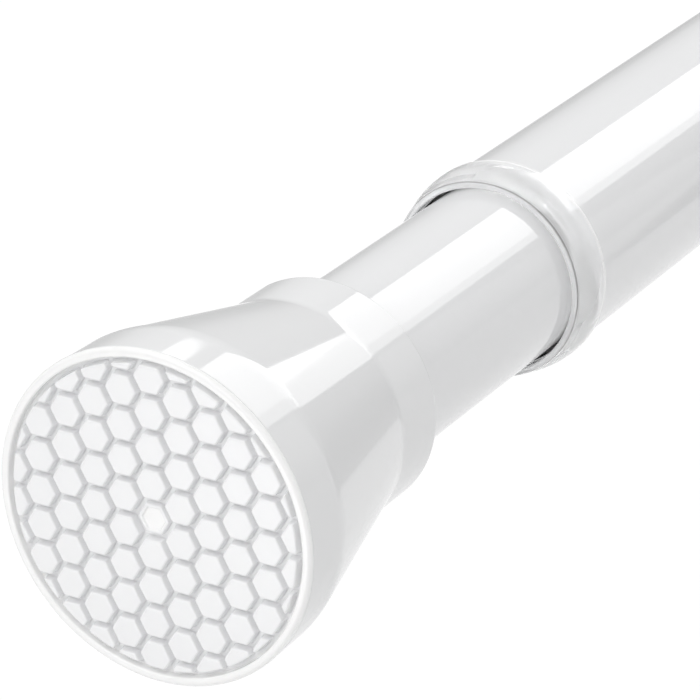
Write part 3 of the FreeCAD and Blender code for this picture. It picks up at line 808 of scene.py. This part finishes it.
class ROD_OT_tubes(bpy.types.Operator):
    """Draw and lacquer the thick and the thin tube"""

    bl_idname = "rod.tubes"
    bl_label = "Lacquered tubes"

    def execute(self, context):
        paint = context.scene.rod_colours.lacquer
        material = gloss_white("Gloss lacquer", paint, 700.0)
        # Dark bare steel that also serves as painted shade. The thin lining in the bore is partly
        # the tube's bare inside and partly painted shade that darkens the cavity behind the collar.
        dark_steel_and_shade = drawn_metal("Bare steel and painted shade", (0.2, 0.2, 0.21), 0.4, (60.0, 900.0, 900.0))
        bore = OUTER_RADIUS - 0.68 * MM
        thick = lipped_tube()
        lining = tube_shape(TUBE_BACK + 0.3 * MM, TUBE_MOUTH - 0.65 * MM, bore, 0.04 * MM)
        thin = tube_shape(INNER_BACK, INNER_FRONT, INNER_RADIUS, 0.6 * MM)
        new_piece("thick_tube", *thick, material, "white_lacquer", "outer_rod", ["outer_tube"])
        new_piece("thick_tube_bore", *lining, dark_steel_and_shade, "plated_steel", "outer_rod", ["outer_tube"])
        # A thin dark steel ring at the tube's mouth: a painted shadow line that shows through the
        # clear collar.
        shadow_ring_back, shadow_ring_front = TUBE_MOUTH - 0.08 * MM, TUBE_MOUTH + 0.012 * MM
        cut = tube_shape(shadow_ring_back, shadow_ring_front, OUTER_RADIUS + 0.02 * MM, 0.3 * MM)
        new_piece("thick_tube_shadow_ring", *cut, dark_steel_and_shade, "plated_steel", "outer_rod", ["outer_tube"])
        new_piece("thin_tube", *thin, material, "white_lacquer", "inner_rod", ["inner_tube"])
        return {"FINISHED"}


def collar_shape():
    """The collar's clear part: a ring before the tube's mouth that swells back into a skirt."""
    back = TUBE_MOUTH / MM + 0.02
    corners = [
        (back, 11.45, 0.03),
        (COLLAR_FRONT / MM, 11.45, 0.2),
        (COLLAR_FRONT / MM, 12.12, 0.2),
        (COLLAR_FRONT / MM - 3.8, COLLAR_RADIUS / MM, 12.0),
        (TUBE_MOUTH / MM - 4.1, COLLAR_RADIUS / MM, 0.3),
        (TUBE_MOUTH / MM - 4.1, 12.55, 0.1),
        (back, 12.55, 0.03),
    ]
    return turned_shape(rounded([(a * MM, r * MM, e * MM) for a, r, e in corners], steps=10))


def sleeve_shape():
    """The collar's sleeve, frosted by the tube that it grips."""
    return tube_shape(COLLAR_BACK, COLLAR_BACK + 4.5 * MM, 11.75 * MM, 0.65 * MM)


class ROD_OT_collar(bpy.types.Operator):
    """Fit the clear collar in the thick tube's mouth"""

    bl_idname = "rod.collar"
    bl_label = "Clear collar"

    def execute(self, context):
        paint = context.scene.rod_colours.clear
        # The last argument is where the painted white highlight on the collar's back edge starts.
        clear = clear_plastic("Clear moulding", paint, TUBE_MOUTH - 3.7 * MM)
        frosted = satin_moulding("Frosted moulding", (0.84, 0.845, 0.85), 0.5, 2600.0)
        fitted = ("clear_plastic", "outer_rod", ["collar"])
        new_piece("clear_collar", *collar_shape(), clear, *fitted)
        new_piece("collar_sleeve", *sleeve_shape(), frosted, *fitted)
        return {"FINISHED"}


# The screw and the spring.


def spindle_shape(sizes):
    """The screwed bar.

    Its radius falls from the crest by the thread's depth times a rounded wave of
    (along / lead - angle / full turn), fades out at the plain ends, and is cut
    to the flat: no point's height is more than the flat's level.
    """
    around = 48
    along = np.linspace(SPINDLE_BACK, SPINDLE_FRONT, 900)
    angle = np.linspace(0, 2 * np.pi, around, endpoint=False)
    phase = along[:, None] / sizes.thread_lead - angle[None, :] / (2 * np.pi)
    wave = 0.5 - 0.5 * np.cos(2 * np.pi * phase)
    groove = np.clip((wave - 0.28) / 0.5, 0, 1)
    starts = np.clip((along - STOP_BORE_BACK - 5 * MM) / (3 * MM), 0, 1)
    stops = np.clip((SPINDLE_FRONT - 8 * MM - along) / (3 * MM), 0, 1)
    radius = SPINDLE_RADIUS - sizes.thread_depth * groove * (starts * stops)[:, None]
    y = radius * np.cos(angle)
    z = np.minimum(radius * np.sin(angle), SPINDLE_RADIUS - 0.8 * MM)
    x = np.broadcast_to(along[:, None], y.shape)
    points = np.stack((x, y, z), axis=-1).reshape(-1, 3)
    total = len(points)
    poles = np.array([[SPINDLE_BACK, 0, 0], [SPINDLE_FRONT, 0, 0]])
    ends = [fan_faces(0, total, around)[:, ::-1], fan_faces(total - around, total + 1, around)]
    return np.concatenate([points, poles]), grid_faces(len(along), around), np.concatenate(ends)


class ROD_OT_spindle(bpy.types.Operator):
    """Cut the thread on the spindle"""

    bl_idname = "rod.spindle"
    bl_label = "Screwed spindle"

    def execute(self, context):
        sizes = context.scene.rod_sizes
        paint = context.scene.rod_colours.zinc
        material = drawn_metal("Zinc plate", paint, 0.3, (120.0, 1400.0, 1400.0))
        shape = spindle_shape(sizes)
        new_piece("screwed_spindle", *shape, material, "plated_steel", "spindle_unit", ["spindle"])
        return {"FINISHED"}


def spring_shape(sizes):
    """The wire carried along a helix whose end turns lie closed against their neighbours.

    The middle of the wire is at the angle 2 pi t turns, and its place along the
    rod grows with t by a smooth step, slow at both ends and steep between.
    """
    around = 16
    wire = sizes.spring_wire / 2
    t = np.linspace(0, 1, 1200)
    turns = sizes.spring_turns
    closed = 1.0 / turns
    flat = sizes.spring_wire * turns * 1.02
    rise = SPRING_FRONT - SPRING_BACK - sizes.spring_wire
    opened = np.clip((t - closed) / (1 - 2 * closed), 0, 1)
    ease = 0.04
    eased = np.where(
        opened < ease,
        opened**2 / (2 * ease),
        np.where(opened > 1 - ease, 1 - ease - (1 - opened) ** 2 / (2 * ease), opened - ease / 2),
    ) / (1 - ease)
    along = SPRING_BACK + wire + flat * t + (rise - flat) * eased
    angle = 2 * np.pi * turns * t
    radius = sizes.spring_radius
    path = np.stack((along, radius * np.cos(angle), radius * np.sin(angle)), axis=-1)
    tangent = np.gradient(path, axis=0)
    tangent /= np.linalg.norm(tangent, axis=1)[:, None]
    outward = np.stack((np.zeros_like(t), np.cos(angle), np.sin(angle)), axis=-1)
    binormal = np.cross(tangent, outward)
    binormal /= np.linalg.norm(binormal, axis=1)[:, None]
    outward = np.cross(binormal, tangent)
    ring = np.linspace(0, 2 * np.pi, around, endpoint=False)
    cos, sin = np.cos(ring)[None, :, None], np.sin(ring)[None, :, None]
    points = path[:, None] + wire * (cos * outward[:, None] + sin * binormal[:, None])
    points = points.reshape(-1, 3)
    points[:, 0] = np.clip(points[:, 0], SPRING_BACK, SPRING_FRONT)
    total = len(points)
    caps = [fan_faces(0, total, around)[:, ::-1], fan_faces(total - around, total + 1, around)]
    ends = np.stack((path[0], path[-1]))
    return np.concatenate([points, ends]), grid_faces(len(t), around), np.concatenate(caps)


class ROD_OT_spring(bpy.types.Operator):
    """Wind the tension spring"""

    bl_idname = "rod.spring"
    bl_label = "Tension spring"

    def execute(self, context):
        sizes = context.scene.rod_sizes
        paint = context.scene.rod_colours.wire
        material = drawn_metal("Oiled spring wire", paint, 0.34, (500.0, 500.0, 500.0))
        shape = spring_shape(sizes)
        fitted = ("spring_steel", "outer_rod", ["tension_spring"])
        spring = new_piece("wound_spring", *shape, material, *fitted)
        free = SPRING_FRONT - SPRING_BACK
        travel = next(j["range_m"][1] for j in frame["joints"] if j["name"] == "spring_press")
        (free - travel) / free
        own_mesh(spring)
        return {"FINISHED"}


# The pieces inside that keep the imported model's own shape.

INSIDE = {
    "backing": ("rear_pad_plate", "front_pad_plate", "front_adapter"),
    "nylon": ("rear_plug", "front_plug", "stop_ring", "thrust_head", "end_stop"),
    "acetal": ("drive_nut", "nut_retainer", "guide_ring"),
    "zinc": ("head_pin", "end_stop_pin", "rear_cap_screw", "front_cap_screw"),
}


class ROD_OT_inside(bpy.types.Operator):
    """Finish the plugs, plates, nut, rings, pins and screws"""

    bl_idname = "rod.inside"
    bl_label = "Inside pieces"

    def execute(self, context):
        colours = context.scene.rod_colours
        finishes = {
            "backing": satin_moulding("Satin backing", colours.backing, 0.42, 1800.0),
            "nylon": satin_moulding("Natural nylon", colours.nylon, 0.48, 1200.0),
            "acetal": satin_moulding("Slippery acetal", colours.acetal, 0.26, 2400.0),
            "zinc": drawn_metal("Zinc screws", colours.zinc, 0.28, (900.0, 300.0, 900.0)),
        }
        for finish, nodes in INSIDE.items():
            for name in nodes:
                mesh = frame["nodes"][name].data
                mesh.materials.clear()
                mesh.materials.append(finishes[finish])
        return {"FINISHED"}


# The stage.


def seen(recipe):
    """1 for rays from the camera, a gloss or a clear piece, which all see the white backdrop."""
    camera = recipe.ray("Is Camera Ray")
    most = camera.math("MAXIMUM", camera, recipe.ray("Is Glossy Ray"))
    return most.math("MAXIMUM", most, recipe.ray("Is Transmission Ray"))


def white_world(fill):
    """Light from all round, which the camera and reflections see as plain white."""
    world = bpy.data.worlds.new("White studio")
    world.use_nodes = True
    recipe = Recipe(world.node_tree)
    around = recipe.add("ShaderNodeBackground", None, {"Color": (1, 1, 1, 1), "Strength": fill})
    white = recipe.add("ShaderNodeBackground", None, {"Color": (1, 1, 1, 1), "Strength": 1.0})
    mixed = recipe.add("ShaderNodeMixShader", None, {0: seen(recipe), 1: around, 2: white})
    recipe.finish(mixed)
    bpy.context.scene.world = world


def lit_side(recipe, place):
    """1 on the light side of the studio, past a line that leaves the rod at 29 degrees.

    It is the distance from that line: the place times the line's normal.
    """
    normal = (0.485, 0.875, 0)
    product = {"operation": "DOT_PRODUCT"}
    across = recipe.add("ShaderNodeVectorMath", product, {0: place, 1: normal}, "Value")
    return recipe.fade(across, 0.18, 0.22)


def light_card(recipe, place):
    """1 in the middle of the small light card before the pad, and 0 at its soft edge."""
    middle = (0.725, -0.075, -0.12)
    distance = {"operation": "DISTANCE"}
    reach = recipe.add("ShaderNodeVectorMath", distance, {0: place, 1: middle}, "Value")
    return 1 - recipe.fade(reach, 0.04, 0.155)


def white_floor(drop):
    """A white table and the floor behind it, as one sheet that keeps the rod's shadow.

    Reflections see it by how far the reflected ray goes: as the table's white
    where it is near, and on the dark side as a grey room where it is far. They
    also see a light card on the table before the pad.
    """
    material, recipe = new_material("White floor")
    place = recipe.place()
    tone = recipe.shade((0.86, 0.86, 0.86), 0.985, recipe.noise(place, 3.0, 2.0))
    paper = recipe.add("ShaderNodeBsdfDiffuse", None, {"Color": tone})
    glossy = recipe.ray("Is Glossy Ray")
    gone = recipe.ray("Ray Length")
    near_stops = [(0.18, 0.9), (0.28, 0.95), (0.36, 1.0)]
    far_stops = [(0.46, 0.95), (0.5, 0.55), (0.9, 0.4)]
    dark = recipe.ramp(gone, near_stops + far_stops)
    light = recipe.ramp(gone, [(0.18, 0.9), (0.36, 1.0)])
    level = recipe.mix(lit_side(recipe, place), dark, light)
    card_light = (5.0, 5.0, 5.0, 1)
    card = recipe.mix(light_card(recipe, place), level, card_light)
    shine = recipe.mix(glossy, (1, 1, 1, 1), card)
    white = recipe.add("ShaderNodeEmission", None, {"Color": shine, "Strength": 1.07})
    held = glossy.math("MAXIMUM", glossy, seen(recipe) * 0.75)
    recipe.finish(recipe.add("ShaderNodeMixShader", None, {0: held, 1: paper, 2: white}))
    mesh = bpy.data.meshes.new("floor")
    reach = 6.0
    signs = ((-1, -1), (1, -1), (1, 1), (-1, 1))
    corners = [(x * reach, y * reach, -drop) for x, y in signs]
    mesh.from_pydata(corners, [], [(0, 1, 2, 3)])
    mesh.materials.append(material)
    floor = bpy.data.objects.new("floor", mesh)
    bpy.context.scene.collection.objects.link(floor)


def softbox(name, middle, aim, size, brightness):
    """An area lamp whose face has this brightness, where 1 is white."""
    lamp = bpy.data.lights.new(name, "AREA")
    lamp.shape = "RECTANGLE"
    lamp.size, lamp.size_y = size
    lamp.energy = brightness * math.pi * size[0] * size[1]
    box = bpy.data.objects.new(name, lamp)
    box.location = middle
    box.rotation_mode = "QUATERNION"
    box.rotation_quaternion = (Vector(aim) - Vector(middle)).to_track_quat("-Z", "Y")
    bpy.context.scene.collection.objects.link(box)
    return box


def grey_horizon(drop):
    """A far round wall that only reflections see: grey at its foot, white at its top.

    It draws the dark edges of white on white, as the far side of a studio does.
    Its top stands 31 degrees up from the rod.
    """
    away, top, sides = 5.5, 3.3, 96
    material, recipe = new_material("Grey horizon")
    place = recipe.place()
    height = recipe.add("ShaderNodeSeparateXYZ", None, {0: place}, "Z")
    climb = recipe.fade(height, 0.0, top)
    dark_stops = [(0.0, 0.39), (0.116, 0.52), (0.323, 0.61), (0.672, 0.76), (1.0, 0.88)]
    light_stops = [(0.0, 0.78), (0.17, 0.9), (0.4, 1.0), (0.8, 1.0), (1.0, 0.88)]
    dark = recipe.ramp(climb, dark_stops)
    light = recipe.ramp(climb, light_stops)
    tone = recipe.mix(lit_side(recipe, place), dark, light)
    recipe.finish(recipe.add("ShaderNodeEmission", None, {"Color": tone, "Strength": 1.14}))
    angle = np.radians(np.linspace(0, 360, sides, endpoint=False))
    rim = np.stack((away * np.cos(angle), away * np.sin(angle)), axis=-1)
    foot = np.concatenate([rim, np.full((sides, 1), -drop)], axis=1)
    head = np.concatenate([rim, np.full((sides, 1), top)], axis=1)
    mesh = bpy.data.meshes.new("grey_horizon")
    mesh.from_pydata(np.concatenate([foot, head]).tolist(), [], grid_faces(2, sides).tolist())
    mesh.materials.append(material)
    wall = bpy.data.objects.new("grey_horizon", mesh)
    bpy.context.scene.collection.objects.link(wall)
    for ray in ("camera", "diffuse", "shadow", "transmission"):
        setattr(wall, "visible_" + ray, False)


class ROD_OT_stage(bpy.types.Operator):
    """Set the floor, the lamps and the camera"""

    bl_idname = "rod.stage"
    bl_label = "White studio"

    def execute(self, context):
        scene = context.scene
        stage = scene.rod_stage
        scene.view_settings.view_transform = "Standard"
        white_world(stage.fill)
        white_floor(stage.floor_drop)
        ceiling = {}
        for name, x, y, size, brightness in (
            ("near_strip", -0.85, 0.12, (1.1, 0.56), 2.3),
            ("near_edge", -0.85, 0.48, (1.1, 0.16), 1.5),
            ("mid_strip", -1.67, 0.19, (0.54, 0.72), 2.4),
            ("far_strip", -2.97, 0.19, (2.06, 0.72), 1.35),
            ("side_patch", -0.47, -0.46, (0.34, 0.085), 2.3),
        ):
            ceiling[name] = softbox(name, (x, y, 0.6), (x, y, 0.0), size, brightness)
        half_turn = 0.4756
        patch = ceiling["side_patch"]
        patch.rotation_quaternion = (math.cos(half_turn), 0, 0, math.sin(half_turn))
        softbox("top_box", (0.75, -0.32, 1.2), (0.38, 0.0, 0.0), (1.2, 1.0), 1.15)
        softbox("front_box", (1.6, -0.2, 0.8), (0.4, 0.0, 0.0), (1.1, 1.0), 1.15)
        grey_horizon(stage.floor_drop)
        camera_data = bpy.data.cameras.new("camera")
        camera_data.sensor_width = 36.0
        camera_data.lens = stage.lens
        camera_data.clip_start = 0.01
        camera = bpy.data.objects.new("camera", camera_data)
        ahead = ROD_LENGTH + stage.camera_reach
        camera.location = (ahead, stage.camera_side, stage.camera_height)
        azimuth, elevation = math.radians(119.67), math.radians(23.79)
        level = math.cos(elevation)
        back = Vector((math.sin(azimuth) * level, -math.cos(azimuth) * level, math.sin(elevation)))
        camera.rotation_mode = "QUATERNION"
        camera.rotation_quaternion = (-back).to_track_quat("-Z", "Y")
        scene.collection.objects.link(camera)
        scene.camera = camera
        return {"FINISHED"}


OPERATORS = (
    ROD_OT_tubes,
    ROD_OT_caps,
    ROD_OT_pads,
    ROD_OT_collar,
    ROD_OT_spindle,
    ROD_OT_spring,
    ROD_OT_inside,
    ROD_OT_stage,
)


class ROD_PT_panel(bpy.types.Panel):
    """Lists the rod's pieces, sizes and colours"""

    bl_label = "Tension Rod"
    bl_idname = "ROD_PT_panel"
    bl_space_type = "VIEW_3D"
    bl_region_type = "UI"
    bl_category = "Tension Rod"

    def draw(self, context):
        layout = self.layout
        for operator in OPERATORS:
            layout.operator(operator.bl_idname)
        for group in (context.scene.rod_sizes, context.scene.rod_colours, context.scene.rod_stage):
            box = layout.box()
            for name in group.bl_rna.properties.keys():
                if name not in ("rna_type", "name"):
                    box.prop(group, name)


CLASSES = (RodSizes, RodColours, StageSettings, *OPERATORS, ROD_PT_panel)


def register():
    for item in CLASSES:
        bpy.utils.register_class(item)
    bpy.types.Scene.rod_sizes = bpy.props.PointerProperty(type=RodSizes)
    bpy.types.Scene.rod_colours = bpy.props.PointerProperty(type=RodColours)
    bpy.types.Scene.rod_stage = bpy.props.PointerProperty(type=StageSettings)


def unregister():
    del bpy.types.Scene.rod_stage
    del bpy.types.Scene.rod_colours
    del bpy.types.Scene.rod_sizes
    for item in reversed(CLASSES):
        bpy.utils.unregister_class(item)


def main():
    register()
    bpy.ops.rod.tubes()
    bpy.ops.rod.caps()
    bpy.ops.rod.pads()
    bpy.ops.rod.collar()
    bpy.ops.rod.spindle()
    bpy.ops.rod.spring()
    bpy.ops.rod.inside()
    bpy.ops.rod.stage()


if __name__ == "__main__":
    main()
